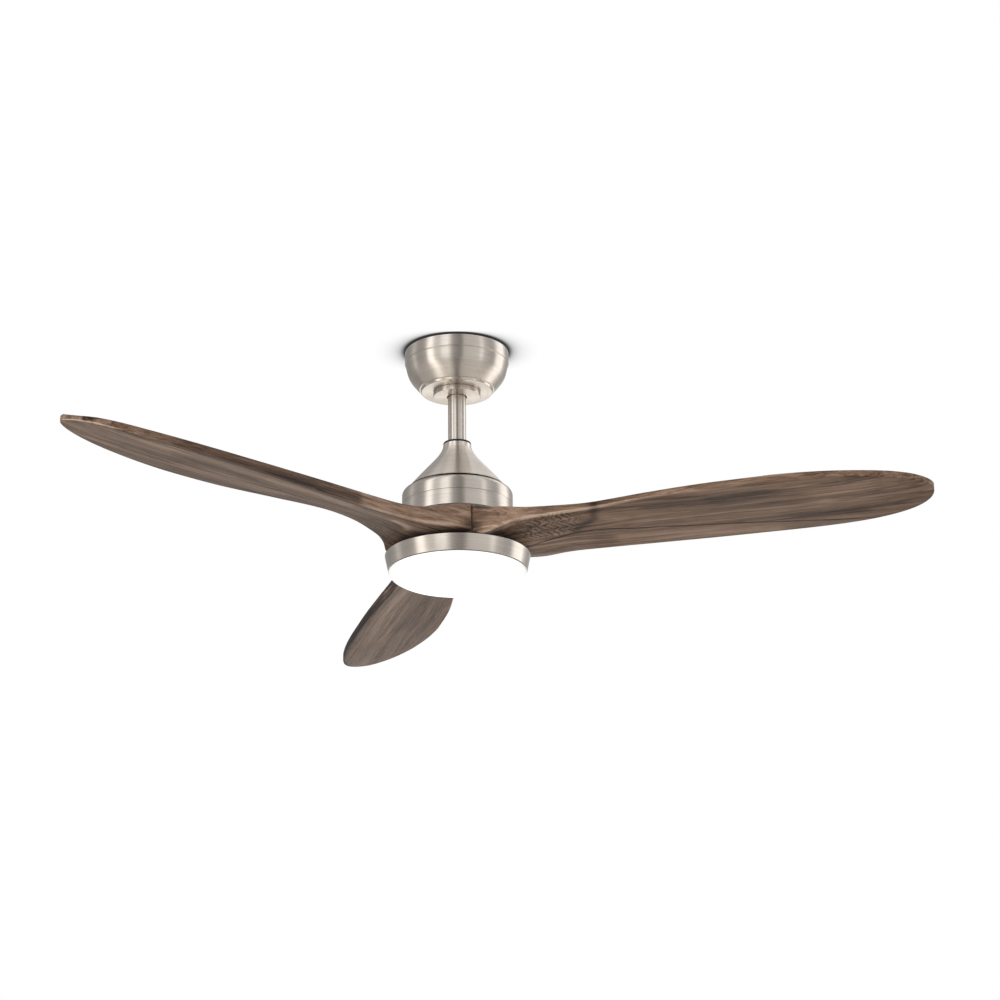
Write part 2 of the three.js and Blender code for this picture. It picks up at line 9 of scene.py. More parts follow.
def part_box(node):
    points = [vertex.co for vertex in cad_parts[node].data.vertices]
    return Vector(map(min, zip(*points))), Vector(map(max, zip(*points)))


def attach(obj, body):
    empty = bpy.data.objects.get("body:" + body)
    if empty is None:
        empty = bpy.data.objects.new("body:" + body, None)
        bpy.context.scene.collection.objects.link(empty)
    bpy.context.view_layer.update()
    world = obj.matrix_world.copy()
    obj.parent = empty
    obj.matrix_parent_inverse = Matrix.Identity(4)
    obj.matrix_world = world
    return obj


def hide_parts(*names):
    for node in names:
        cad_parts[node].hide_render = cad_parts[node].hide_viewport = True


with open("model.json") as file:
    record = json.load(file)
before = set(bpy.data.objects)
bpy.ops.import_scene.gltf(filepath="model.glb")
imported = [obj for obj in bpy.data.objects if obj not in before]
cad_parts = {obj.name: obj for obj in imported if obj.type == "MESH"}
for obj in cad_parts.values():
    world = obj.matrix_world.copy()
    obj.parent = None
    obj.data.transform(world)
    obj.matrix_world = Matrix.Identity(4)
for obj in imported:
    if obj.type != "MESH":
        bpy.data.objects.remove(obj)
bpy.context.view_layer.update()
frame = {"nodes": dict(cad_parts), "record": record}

MM = 0.001
TAU = 2 * math.pi

# ---------------------------------------------------------------- camera


# The camera stands below and in front of the fan and looks up at it: its place in metres, its angles in
# degrees, and its lens and sensor in millimetres.
CAMERA_PLACE = (0, -3.36097, -1.42915)
CAMERA_YAW, CAMERA_PITCH, CAMERA_ROLL = 1.0142, 19.7185, -0.6225
CAMERA_LENS, CAMERA_SENSOR = 91.94, 36


def make_camera():
    data = bpy.data.cameras.new("camera")
    data.lens, data.sensor_width = CAMERA_LENS, CAMERA_SENSOR
    data.clip_start, data.clip_end = 0.05, 200
    camera = bpy.data.objects.new("camera", data)
    bpy.context.scene.collection.objects.link(camera)
    yaw, pitch, roll = (math.radians(a) for a in (CAMERA_YAW, CAMERA_PITCH, CAMERA_ROLL))
    ahead = Vector((math.sin(yaw) * math.cos(pitch), math.cos(yaw) * math.cos(pitch), math.sin(pitch)))
    level = Vector((math.cos(yaw), -math.sin(yaw), 0))
    over = level.cross(ahead)
    right = math.cos(roll) * level + math.sin(roll) * over
    up = -math.sin(roll) * level + math.cos(roll) * over
    turn = Matrix((right, up, -ahead)).transposed().to_4x4()
    camera.matrix_world = Matrix.Translation(CAMERA_PLACE) @ turn
    bpy.context.scene.camera = camera


make_camera()
bpy.context.scene.view_settings.view_transform = "Standard"

# ---------------------------------------------------------------- nodes


class Nodes:
    """A short way to wire a node tree."""

    def __init__(self, tree):
        self.tree = tree
        tree.nodes.clear()

    def add(self, kind, inputs=None, **settings):
        node = self.tree.nodes.new("ShaderNode" + kind)
        for name, value in settings.items():
            setattr(node, name, value)
        for name, value in (inputs or {}).items():
            self.set(node.inputs[name], value)
        return node

    def set(self, socket, value):
        if isinstance(value, bpy.types.NodeSocket):
            self.tree.links.new(value, socket)
        elif isinstance(value, bpy.types.Node):
            self.tree.links.new(value.outputs[0], socket)
        else:
            socket.default_value = value

    def math(self, operation, a, b=0.0, c=0.0, clamp=False):
        return self.add("Math", {0: a, 1: b, 2: c}, operation=operation, use_clamp=clamp).outputs[0]

    def vector(self, x=0.0, y=0.0, z=0.0):
        return self.add("CombineXYZ", {0: x, 1: y, 2: z}).outputs[0]

    def split(self, vector):
        return self.add("SeparateXYZ", {0: vector}).outputs

    def noise(self, vector, scale=1.0, detail=2.0, rough=0.5, distortion=0.0):
        inputs = {"Vector": vector, "Scale": scale, "Detail": detail, "Roughness": rough,
                  "Distortion": distortion}
        return self.add("TexNoise", inputs).outputs["Fac"]

    def ramp(self, fac, stops):
        """stops are (position, colour or grey level)."""
        node = self.add("ValToRGB", {0: fac})
        points = node.color_ramp.elements
        while len(points) < len(stops):
            points.new(1.0)
        for point, (position, colour) in zip(points, stops):
            point.position = position
            grey = isinstance(colour, (int, float))
            point.color = (colour,) * 3 + (1,) if grey else tuple(colour) + (1,)
        return node.outputs[0]

    def range(self, value, low, high, to_low=0.0, to_high=1.0, smooth=False):
        kind = "SMOOTHSTEP" if smooth else "LINEAR"
        inputs = {"Value": value, "From Min": low, "From Max": high, "To Min": to_low, "To Max": to_high}
        return self.add("MapRange", inputs, interpolation_type=kind, clamp=True).outputs[0]

    def mix(self, fac, a, b, blend="MIX"):
        node = self.add("Mix", data_type="RGBA", blend_type=blend)
        for index, value in ((0, fac), (6, a), (7, b)):
            if isinstance(value, tuple) and len(value) == 3:
                value = value + (1,)
            self.set(node.inputs[index], value)
        return node.outputs[2]

    def bump(self, height, strength, distance):
        return self.add("Bump", {"Height": height, "Strength": strength, "Distance": distance}).outputs[0]


def new_material(name):
    material = bpy.data.materials.new(name)
    material.use_nodes = True
    return material, Nodes(material.node_tree)


def surface(nodes, **inputs):
    """A Principled surface; names use _ for the spaces in its sockets' names."""
    shader = nodes.add("BsdfPrincipled", {key.replace("_", " "): value for key, value in inputs.items()})
    nodes.add("OutputMaterial", {"Surface": shader})
    return shader


def place(nodes):
    return nodes.add("TexCoord").outputs["Object"]


def from_axis(nodes, x, y):
    """The distance from the Z axis."""
    return nodes.math("SQRT", nodes.math("ADD", nodes.math("MULTIPLY", x, x), nodes.math("MULTIPLY", y, y)))


# ---------------------------------------------------------------- stage


FLOOR_RADIUS, FLOOR_HEIGHT = 38, -2.6      # metres
SURROUND_RADIUS = 40
PATCH_RADIUS, PATCH_HEIGHT = 0.24, 0.0002
SHADOW_START = 0.0735                      # just inside the canopy's rim
SHADOW_REACH, SHADOW_SIDEWAYS = 0.003, 0.043     # how far the shadow goes, and how much further sideways
SHADOW = [(0, 0.03), (0.05, 0.12), (0.11, 0.36), (0.19, 0.60), (0.34, 0.79), (0.52, 0.90), (0.74, 0.965),
          (1, 1.0)]                        # from its start to its reach, how bright the ceiling is


def stage_mesh(name, verts, faces):
    mesh = bpy.data.meshes.new(name)
    mesh.from_pydata(verts, [], faces)
    obj = bpy.data.objects.new(name, mesh)
    bpy.context.scene.collection.objects.link(obj)
    return obj


def camera_only(obj):
    obj.visible_diffuse = obj.visible_glossy = obj.visible_shadow = obj.visible_transmission = False


def ring_of(radius, z, facets):
    angles = [TAU * i / facets for i in range(facets)]
    return [(radius * math.cos(angle), radius * math.sin(angle), z) for angle in angles]


def one_sided(nodes, front):
    """Shows the surface from its front only."""
    clear = nodes.add("BsdfTransparent")
    back = nodes.add("NewGeometry").outputs["Backfacing"]
    nodes.add("OutputMaterial", {"Surface": nodes.add("MixShader", {0: back, 1: front, 2: clear})})


def make_floor():
    """Pale floor, seen from above only, so that the underside can be looked at from anywhere."""
    facets = 96
    floor = stage_mesh("floor", ring_of(FLOOR_RADIUS, FLOOR_HEIGHT, facets), [tuple(range(facets))])
    material, nodes = new_material("stage_floor")
    tint = nodes.ramp(nodes.noise(place(nodes), 0.8, 3),
                      [(0.3, (0.85, 0.85, 0.84)), (0.7, (0.87, 0.87, 0.86))])
    one_sided(nodes, nodes.add("BsdfPrincipled", {"Base Color": tint, "Roughness": 0.8}))
    floor.data.materials.append(material)
    floor.visible_glossy = False


def make_surround():
    """A white surround that only the camera sees."""
    facets, levels = 24, 13
    verts = [v for a in np.linspace(-1.5, 1.5, levels)
             for v in ring_of(SURROUND_RADIUS * math.cos(a), SURROUND_RADIUS * math.sin(a), facets)]
    faces = []
    for low in range(0, len(verts) - facets, facets):
        for i in range(facets):
            j = (i + 1) % facets
            faces.append((low + i, low + j, low + facets + j, low + facets + i))
    caps = [tuple(range(facets))[::-1], tuple(range(len(verts) - facets, len(verts)))]
    surround = stage_mesh("surround", verts, faces + caps)
    material, nodes = new_material("stage_surround")
    glow = nodes.add("Emission", {"Color": (1, 1, 1, 1), "Strength": 1.0})
    nodes.add("OutputMaterial", {"Surface": glow})
    surround.data.materials.append(material)
    camera_only(surround)


def make_ceiling():
    """The ceiling round the canopy: white, with the canopy's soft shadow, and seen only from below."""
    facets = 96
    patch = stage_mesh("ceiling", ring_of(PATCH_RADIUS, PATCH_HEIGHT, facets), [tuple(range(facets))[::-1]])
    material, nodes = new_material("stage_ceiling")
    x, y, _ = nodes.split(place(nodes))
    away = from_axis(nodes, x, y)
    side = nodes.math("POWER", nodes.math("ABSOLUTE", nodes.math("DIVIDE", x, away)), 1.6)
    reach = nodes.math("MULTIPLY_ADD", side, SHADOW_SIDEWAYS, SHADOW_REACH)
    share = nodes.math("DIVIDE", nodes.math("SUBTRACT", away, SHADOW_START), reach, clamp=True)
    one_sided(nodes, nodes.add("Emission", {"Color": nodes.ramp(share, SHADOW), "Strength": 1.0}))
    patch.data.materials.append(material)
    camera_only(patch)


# The world is a ring of softboxes: the azimuth in degrees, 0 towards the camera and positive to its
# right, and how bright the surround is there. SOFTBOXES hold at eye level and above, LOW_BOXES low down.
SOFTBOXES = [(-180, 0.42), (-168, 0.44), (-156, 0.36), (-136, 0.36), (-120, 0.46), (-108, 0.80),
             (-98, 0.44), (-84, 0.42), (-72, 0.58), (-65, 1.85), (-57, 1.85), (-50, 0.78), (-38, 0.90),
             (-33, 1.35), (-20, 1.5), (-15, 1.0), (-9, 0.50), (0, 0.38), (7, 0.29), (12, 0.36), (18, 0.72),
             (50, 0.80), (57, 1.3), (65, 0.72), (80, 0.50), (92, 0.46), (102, 1.45), (122, 1.85),
             (130, 0.85), (144, 0.46), (160, 0.5), (170, 0.8)]
LOW_BOXES = [(-180, 1.5), (-172, 1.3), (-158, 0.6), (-146, 0.34), (-132, 0.28), (-118, 0.48),
             (-100, 0.58), (-84, 0.58), (-74, 0.72), (-66, 1.6), (-56, 2.1), (-50, 1.0), (-42, 0.64),
             (-30, 0.7), (-22, 0.8), (-12, 0.48), (-4, 0.26), (7, 0.26), (14, 0.6), (46, 0.7), (64, 0.66),
             (90, 0.52), (99, 0.9), (108, 1.7), (120, 1.7), (130, 0.8), (142, 0.5), (162, 0.5),
             (172, 1.2), (180, 1.5)]
BRIGHTEST = 2.4
LOW_FULL, LOW_GONE = -0.36, -0.16     # the slope below level where LOW_BOXES take over
TALL = [(0, (1, 0.95, 0.88)), (0.5, (1, 0.99, 0.975)), (1, (0.85, 0.86, 0.87))]     # tint, bottom to top


def make_light():
    world = bpy.data.worlds.new("studio")
    world.use_nodes = True
    nodes = Nodes(world.node_tree)
    x, y, z = nodes.split(nodes.add("TexCoord").outputs["Generated"])
    azimuth = nodes.range(nodes.math("ARCTAN2", x, nodes.math("MULTIPLY", y, -1.0)), -math.pi, math.pi)
    rings = [nodes.ramp(azimuth, [((degrees + 180) / 360, level / BRIGHTEST) for degrees, level in boxes])
             for boxes in (SOFTBOXES, LOW_BOXES)]
    above = nodes.range(z, LOW_FULL, LOW_GONE, smooth=True)
    tall = nodes.ramp(nodes.range(z, -1, 1), TALL)
    light = nodes.mix(1.0, nodes.mix(above, rings[1], rings[0]), tall, "MULTIPLY")
    sky = nodes.add("Background", {"Color": light, "Strength": BRIGHTEST})
    nodes.add("OutputWorld", {"Surface": sky})
    bpy.context.scene.world = world


def area_light(name, place_at, aim, size, watts, colour):
    data = bpy.data.lights.new(name, "AREA")
    data.shape, data.size, data.size_y = "RECTANGLE", size[0], size[1]
    data.energy, data.color = watts, colour
    light = bpy.data.objects.new(name, data)
    bpy.context.scene.collection.objects.link(light)
    light.location = place_at
    light.rotation_mode = "QUATERNION"
    light.rotation_quaternion = (Vector(aim) - Vector(place_at)).to_track_quat("-Z", "Y")
    light.visible_camera = False
    light.visible_glossy = False


make_floor()
make_surround()
make_ceiling()
make_light()
area_light("key", (-0.9, -3.2, -0.2), (0.1, 0, -0.27), (1.6, 1.2), 40, (1, 0.965, 0.935))

# ---------------------------------------------------------------- materials

materials = {}


def fine_lines(nodes, spacing, turns):
    """Noise in long thin streaks that run round the Z axis; spacing is their width, in metres, and a
    higher turns makes them shorter."""
    x, y, z = nodes.split(place(nodes))
    radius = from_axis(nodes, x, y)
    safe = nodes.math("MAXIMUM", radius, 1e-4)
    across = nodes.math("MULTIPLY", nodes.math("SUBTRACT", radius, z), 1 / spacing)
    vector = nodes.vector(nodes.math("MULTIPLY", nodes.math("DIVIDE", x, safe), turns),
                          nodes.math("MULTIPLY", nodes.math("DIVIDE", y, safe), turns), across)
    return nodes.noise(vector, 1.0, 3, 0.6)


NICKEL_LIGHT, NICKEL_DARK = (0.725, 0.662, 0.60), (0.59, 0.535, 0.48)


def make_nickel(name, tint=1.0, spread=0.26):
    """Brushed nickel; the brushing runs round the piece. tint scales its colour: above 1 it is a lighter
    copy, painted light for a piece that takes too little light. spread is its roughness.
    """
    material, nodes = new_material(name)
    fine = fine_lines(nodes, 0.0007, 1.6)
    broad = fine_lines(nodes, 0.0045, 1.1)
    light = tuple(c * tint for c in NICKEL_LIGHT)
    dark = tuple(c * tint for c in NICKEL_DARK)
    streaks = nodes.mix(0.5, nodes.ramp(fine, [(0.3, dark), (0.7, light)]),
                        nodes.ramp(broad, [(0.3, dark), (0.7, light)]))
    worn = nodes.range(nodes.noise(place(nodes), 26, 3), 0.3, 0.7, spread - 0.03, spread + 0.03)
    rough = nodes.math("ADD", worn, nodes.math("MULTIPLY", nodes.math("SUBTRACT", fine, 0.5), 0.06))
    tangent = nodes.add("Tangent", direction_type="RADIAL", axis="Z")
    surface(nodes, Base_Color=streaks, Metallic=1.0, Roughness=rough, Anisotropic=0.97,
            Anisotropic_Rotation=0.25, Tangent=tangent.outputs[0], Normal=nodes.bump(fine, 0.10, 0.0002))
    materials[name] = material


def make_plain(name, colour, other, roughness, metallic=0.0, scale=180.0, bump=0.15, coat=0.0):
    """A surface whose colour wanders between two tones, with a fine grain."""
    material, nodes = new_material(name)
    grain = nodes.noise(place(nodes), scale, 4, 0.6)
    cloud = nodes.noise(place(nodes), scale / 9, 3)
    tone = nodes.math("ADD", nodes.math("MULTIPLY", grain, 0.45), nodes.math("MULTIPLY", cloud, 0.55))
    tint = nodes.ramp(tone, [(0.35, colour), (0.65, other)])
    rough = nodes.range(cloud, 0.3, 0.7, roughness * 0.85, min(1.0, roughness * 1.15))
    surface(nodes, Base_Color=tint, Metallic=metallic, Roughness=rough, Coat_Weight=coat,
            Normal=nodes.bump(grain, bump, 0.0003))
    materials[name] = material


def make_lamination():
    """Stacked thin steel sheets: fine dark lines at each sheet's edge."""
    thickness = 0.0005
    material, nodes = new_material("lamination")
    _, _, z = nodes.split(place(nodes))
    sheet = nodes.math("FRACT", nodes.math("MULTIPLY", z, 1 / thickness))
    tint = nodes.ramp(sheet, [(0, (0.03, 0.03, 0.035)), (0.2, (0.22, 0.22, 0.24)), (1, (0.28, 0.28, 0.3))])
    grain = nodes.noise(place(nodes), 900, 3)
    surface(nodes, Base_Color=tint, Metallic=0.85, Roughness=nodes.range(grain, 0.3, 0.7, 0.4, 0.6),
            Normal=nodes.bump(sheet, 0.3, 0.0002))
    materials["lamination"] = material


def make_copper():
    """Enamelled wire wound round each tooth: fine turns across the ring."""
    turns, teeth = 240, 12
    material, nodes = new_material("copper_winding")
    x, y, _ = nodes.split(place(nodes))
    around = nodes.math("ARCTAN2", y, x)
    turn = nodes.math("SINE", nodes.math("MULTIPLY", around, turns))
    gap = nodes.math("ABSOLUTE", nodes.math("SINE", nodes.math("MULTIPLY", around, teeth / 2)))
    tint = nodes.ramp(nodes.range(turn, -1, 1), [(0, (0.16, 0.05, 0.015)), (1, (0.62, 0.24, 0.09))])
    # Near-black between the teeth: painted shade in the gaps between the coils.
    tint = nodes.mix(nodes.range(gap, 0.0, 0.25), (0.03, 0.02, 0.015), tint)
    rough = nodes.range(nodes.noise(place(nodes), 300, 3), 0.3, 0.7, 0.25, 0.4)
    surface(nodes, Base_Color=tint, Metallic=0.8, Roughness=rough, Normal=nodes.bump(turn, 0.4, 0.0004))
    materials["copper_winding"] = material


def make_board(name, mask, track, part):
    """A printed circuit board: solder mask, tracks and rows of small parts in its surface pattern."""
    material, nodes = new_material(name)
    cells = nodes.add("TexVoronoi", {"Vector": place(nodes), "Scale": 160.0}, distance="CHEBYCHEV")
    lines = nodes.add("TexVoronoi", {"Vector": place(nodes), "Scale": 70.0}, distance="MANHATTAN")
    tint = nodes.mix(nodes.range(lines.outputs["Distance"], 0.46, 0.5), mask, track)
    tint = nodes.mix(nodes.range(cells.outputs["Distance"], 0.16, 0.14), tint, part)
    rough = nodes.range(nodes.noise(place(nodes), 90, 3), 0.3, 0.7, 0.35, 0.5)
    surface(nodes, Base_Color=tint, Roughness=rough,
            Normal=nodes.bump(lines.outputs["Distance"], 0.2, 0.0002))
    materials[name] = material


COVER_EDGE = -329.6                      # where the diffuser leaves the light ring, in millimetres
GLOW_FULL, GLOW_RIM = 0.076, 0.0965      # the glow fades between these radii
GLOW = [(0, 1.0), (0.4, 0.72), (0.8, 0.55), (1, 0.4)]


def make_opal():
    """The lit diffuser: opal plastic that glows, a little less towards its rim. Its rim inside the ring is
    dark grey and does not glow: painted shade for the gap between the ring and the cover.
    """
    material, nodes = new_material("opal_diffuser")
    x, y, z = nodes.split(place(nodes))
    radius = from_axis(nodes, x, y)
    # 1 below the ring's edge, 0 on the rim inside the ring, where the cover is painted dark: painted shade
    # in the gap between the ring and the cover.
    outside_gap_shade = nodes.range(z, (COVER_EDGE - 0.2) * MM, (COVER_EDGE - 0.6) * MM)
    glow = nodes.math("MULTIPLY", nodes.ramp(nodes.range(radius, GLOW_FULL, GLOW_RIM), GLOW), outside_gap_shade)
    frost = nodes.noise(place(nodes), 420, 3)
    tint = nodes.ramp(frost, [(0.3, (0.86, 0.86, 0.86)), (0.7, (0.9, 0.9, 0.895))])
    # Painted shade: dark grey on the rim inside the ring.
    tint = nodes.mix(outside_gap_shade, (0.1, 0.1, 0.1), tint)
    surface(nodes, Base_Color=tint, Roughness=nodes.range(frost, 0.3, 0.7, 0.4, 0.5),
            Emission_Color=(1, 1, 0.995, 1), Emission_Strength=nodes.math("MULTIPLY", glow, 0.75),
            Normal=nodes.bump(frost, 0.05, 0.0002))
    materials["opal_diffuser"] = material


ZIG_SPACING, ZIG_TOOTH = 0.0088, 0.0082     # the zigzag's step along the grain, and half a tooth across it
WALNUT = [(0.0, (0.022, 0.012, 0.008)), (0.25, (0.076, 0.043, 0.028)), (0.5, (0.184, 0.114, 0.074)),
          (0.75, (0.315, 0.207, 0.148)), (1.0, (0.47, 0.345, 0.265))]


def make_walnut(name, seed, streaky):
    """Oiled walnut. The grain attribute holds the place along and across the grain, in metres; tone is
    a broad light or dark shift that also carries a painted highlight and the painted shade of the gap above
    the light ring, crease the place across the strongest dark line, figured the share of zigzag figure, wall
    is 1 on the blade's edge faces, and worn is a painted highlight that lightens its corners. streaky is how
    strong the grain is."""
    material, nodes = new_material(name)
    attribute = {key: nodes.add("Attribute", attribute_name=key) for key in
                 ("grain", "tone", "crease", "figured", "wall", "worn")}
    s, t, w = nodes.split(attribute["grain"].outputs["Vector"])
    value = {key: node.outputs["Fac"] for key, node in attribute.items()}
    shift = seed * 3.7

    def streak(along, across, detail=4, rough=0.6, distortion=0.0, offset=0.0):
        vector = nodes.vector(nodes.math("MULTIPLY_ADD", s, along, shift + offset),
                              nodes.math("MULTIPLY_ADD", t, across, shift - offset),
                              nodes.math("MULTIPLY", w, across))
        return nodes.noise(vector, 1.0, detail, rough, distortion)

    broad = streak(2.4, 38, 3, 0.55, 0.6)
    middle = streak(5.0, 150, 5, 0.62, 0.9, 4)
    fine = streak(16, 620, 5, 0.65, 0.4, 9)
    pores = streak(70, 2600, 2, 0.5, 0.0, 2)

    # Wispy rings: thin dark lines where a bent field crosses whole steps.
    bent = nodes.math("ADD", nodes.math("MULTIPLY", broad, 7.0), nodes.math("MULTIPLY", middle, 1.6))
    step = nodes.math("ABSOLUTE", nodes.math("SUBTRACT", nodes.math("FRACT", bent), 0.5))
    rings = nodes.range(step, 0.0, 0.16, 1.0, 0.0)

    # Zigzag figure: nested chevrons across the grain.
    sway = nodes.noise(nodes.vector(nodes.math("MULTIPLY", s, 45), nodes.math("MULTIPLY", t, 45)), 1.0, 2)
    tooth = nodes.math("PINGPONG", nodes.math("MULTIPLY_ADD", sway, 0.024, t), ZIG_TOOTH)
    across = nodes.math("MULTIPLY_ADD", tooth, 0.85, s)
    across = nodes.math("MULTIPLY_ADD", sway, 0.029, across)
    band = nodes.math("FRACT", nodes.math("DIVIDE", across, ZIG_SPACING))
    zig = nodes.math("ABSOLUTE", nodes.math("SUBTRACT", band, 0.5))
    flat = nodes.math("MULTIPLY", value["figured"], nodes.math("SUBTRACT", 1.0, value["wall"]))
    patchy = nodes.range(nodes.noise(nodes.vector(s, t), 60, 3), 0.35, 0.57, 0.3, 1.0)
    zigzag = nodes.math("MULTIPLY", nodes.range(zig, 0.03, 0.26, 1.0, -0.2),
                        nodes.math("MULTIPLY", flat, patchy))

    level = nodes.math("MULTIPLY_ADD", nodes.math("SUBTRACT", broad, 0.5), 0.95 * streaky, 0.5)
    level = nodes.math("MULTIPLY_ADD", nodes.math("SUBTRACT", middle, 0.5), 1.0 * streaky, level)
    level = nodes.math("MULTIPLY_ADD", nodes.math("SUBTRACT", fine, 0.5), 0.75, level)
    level = nodes.math("MULTIPLY_ADD", rings, -0.16 * streaky, level)
    level = nodes.math("MULTIPLY_ADD", zigzag, -0.5, level)
    # tone adds the strokes, among them a painted highlight, and takes off the painted shade of the gap above
    # the light ring.
    level = nodes.math("ADD", level, value["tone"])
    near = nodes.math("MULTIPLY_ADD", nodes.math("SUBTRACT", middle, 0.5), 0.004, value["crease"])
    line = nodes.range(nodes.math("ABSOLUTE", near), 0.0004, 0.0021, 1.0, 0.0, True)
    level = nodes.math("MULTIPLY_ADD", line, -0.55, level)
    level = nodes.math("MULTIPLY_ADD", value["wall"], 0.06, level)
    # worn adds the painted highlight on the underside's corners.
    level = nodes.math("ADD", level, value["worn"])
    level = nodes.math("SUBTRACT", level, nodes.range(pores, 0.58, 0.72, 0.0, 0.16))
    tint = nodes.ramp(level, WALNUT)
    rough = nodes.math("ADD", nodes.range(middle, 0.3, 0.7, 0.52, 0.42),
                       nodes.range(pores, 0.55, 0.7, 0.0, 0.15))
    height = nodes.math("SUBTRACT", nodes.math("MULTIPLY", fine, 0.6),
                        nodes.range(pores, 0.56, 0.72, 0.0, 0.8))
    surface(nodes, Base_Color=tint, Roughness=rough, Specular_IOR_Level=0.22,
            Normal=nodes.bump(height, 0.25, 0.0003))
    materials[name] = material


make_nickel("brushed_nickel")
# A lighter copy of the brushed nickel: painted light, for the bell.
make_nickel("painted_light_nickel", 1.24, 0.32)
make_plain("black_rubber", (0.008, 0.008, 0.008), (0.02, 0.02, 0.02), 0.75, scale=600)
make_plain("zinc_plate", (0.42, 0.43, 0.42), (0.62, 0.62, 0.58), 0.38, metallic=1.0, scale=240)
make_plain("plain_steel", (0.36, 0.36, 0.36), (0.56, 0.56, 0.55), 0.34, metallic=1.0, scale=900)
make_plain("black_nylon", (0.014, 0.014, 0.015), (0.03, 0.03, 0.03), 0.5, scale=500)
make_plain("white_plastic", (0.72, 0.72, 0.70), (0.8, 0.8, 0.79), 0.42, scale=500, bump=0.08)
make_plain("green_screw", (0.03, 0.16, 0.06), (0.06, 0.27, 0.1), 0.35, metallic=0.7, scale=900)
make_plain("magnet", (0.05, 0.05, 0.055), (0.11, 0.11, 0.12), 0.42, metallic=0.6, scale=700)
make_plain("white_enamel", (0.76, 0.76, 0.75), (0.84, 0.84, 0.83), 0.3, scale=220, bump=0.05, coat=0.3)
make_plain("driver_case", (0.02, 0.02, 0.022), (0.05, 0.05, 0.052), 0.55, scale=420)
make_lamination()
make_copper()
make_board("green_board", (0.012, 0.07, 0.025), (0.03, 0.16, 0.05), (0.03, 0.03, 0.03))
make_board("led_board", (0.72, 0.72, 0.7), (0.6, 0.6, 0.58), (0.75, 0.6, 0.12))
make_opal()

# ---------------------------------------------------------------- meshes


def new_piece(name, verts, faces, body, slot, finish=None, stands_for=(), sharp=32):
    """A piece in millimetres, riding on a body, with its finish and the CAD nodes it stands for."""
    mesh = bpy.data.meshes.new(name)
    mesh.from_pydata([tuple(c * MM for c in v) for v in verts], [], faces)
    mesh.validate()
    mesh.polygons.foreach_set("use_smooth", [True] * len(mesh.polygons))
    mesh.set_sharp_from_angle(angle=math.radians(sharp))
    obj = bpy.data.objects.new(name, mesh)
    bpy.context.scene.collection.objects.link(obj)
    mesh.materials.append(materials[finish or slot])
    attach(obj, body)
    if stands_for:
        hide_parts(*stands_for)
    return obj


def rounded(profile):
    """Turns corners given as (radius, z, fillet) into short arcs."""
    out = []
    steps = 4
    for i, point in enumerate(profile):
        fillet = point[2] if len(point) > 2 else 0
        here = np.array(point[:2], float)
        if not fillet:
            out.append(tuple(here))
            continue
        before = np.array(profile[i - 1][:2], float) - here
        after = np.array(profile[(i + 1) % len(profile)][:2], float) - here
        before, after = (d / np.linalg.norm(d) for d in (before, after))
        for k in range(steps + 1):
            share = k / steps
            out.append(tuple(here + fillet * ((1 - share) ** 2 * before + share ** 2 * after)))
    return out


def turned(name, profile, body, slot, stands_for=(), facets=144, finish=None):
    """A turned piece about Z. The profile is a closed loop of (radius, z[, fillet]) in millimetres; a
    profile that starts and ends on the axis makes a solid one."""
    points = rounded(profile)
    area = sum(here[0] * after[1] - after[0] * here[1]
               for here, after in zip(points, points[1:] + points[:1]))
    if area < 0:
        points = points[::-1]
    verts, rows = [], []
    for r, z in points:
        if r < 1e-6:
            rows.append([len(verts)] * facets)
            verts.append((0, 0, z))
        else:
            rows.append(list(range(len(verts), len(verts) + facets)))
            verts.extend(ring_of(r, z, facets))
    faces = []
    for i, row in enumerate(rows):
        after = rows[(i + 1) % len(rows)]
        for k in range(facets):
            j = (k + 1) % facets
            face = [row[k], row[j], after[j], after[k]]
            face = [v for n, v in enumerate(face) if v not in face[:n]]
            if len(face) > 2:
                faces.append(face)
    return new_piece(name, verts, faces, body, slot, finish, stands_for)


def bezier_at(controls, t):
    a, b, c, d = (np.array(p, float) for p in controls)
    return tuple((1 - t) ** 3 * a + 3 * (1 - t) ** 2 * t * b + 3 * (1 - t) * t * t * c + t ** 3 * d)


def bezier(controls, count):
    return [bezier_at(controls, t) for t in np.linspace(0, 1, count)]


def extent(node):
    """The outer radius, lowest and highest z of a CAD node, in millimetres."""
    low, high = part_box(node)
    return max(high.x, -low.x, high.y, -low.y) / MM, low.z / MM, high.z / MM


# ---------------------------------------------------------------- ceiling side

SHEET = 1.5        # thickness of the turned sheet metal
FLANK = [(72.8, -21.2), (69, -38), (70, -39), (53.2, -58.2)]     # the canopy's curve, groove to step


def make_canopy():
    rim, plate, top = extent("canopy")
    groove, step_radius, step_height, hole = -19.3, 50.9, -58.4, 20
    flank = bezier(FLANK, 26)
    outer = [(rim - 1.2, top), (rim, top, 0.5), (rim, groove, 0.4), (rim - 1.0, groove - 0.5),
             (rim - 1.0, groove - 1.1), (rim - 0.6, groove - 1.6, 0.2)]
    step = [(step_radius, step_height, 0.8), (step_radius - 0.4, plate, 1.3), (hole, plate, 0.3)]
    inside = [(hole, plate + SHEET, 0.3), (49, plate + SHEET), (49, -57)]
    inside += [(r - SHEET - 0.3, z + 0.6) for r, z in flank[::-3]]
    turned("canopy_shell", outer + flank + step + inside, "ceiling_mount", "brushed_nickel", ["canopy"], 192)


def make_disc():
    radius, low, high = extent("canopy_cover_disc")
    hole, wall, floor = 14.2, 1.2, 1.4
    turned("cover_disc", [(hole, low, 0.25), (radius, low, 0.9), (radius, high, 0.2), (radius - wall, high),
                          (radius - wall, low + floor), (hole, low + floor, 0.2)],
           "ceiling_mount", "brushed_nickel", ["canopy_cover_disc"], 144)


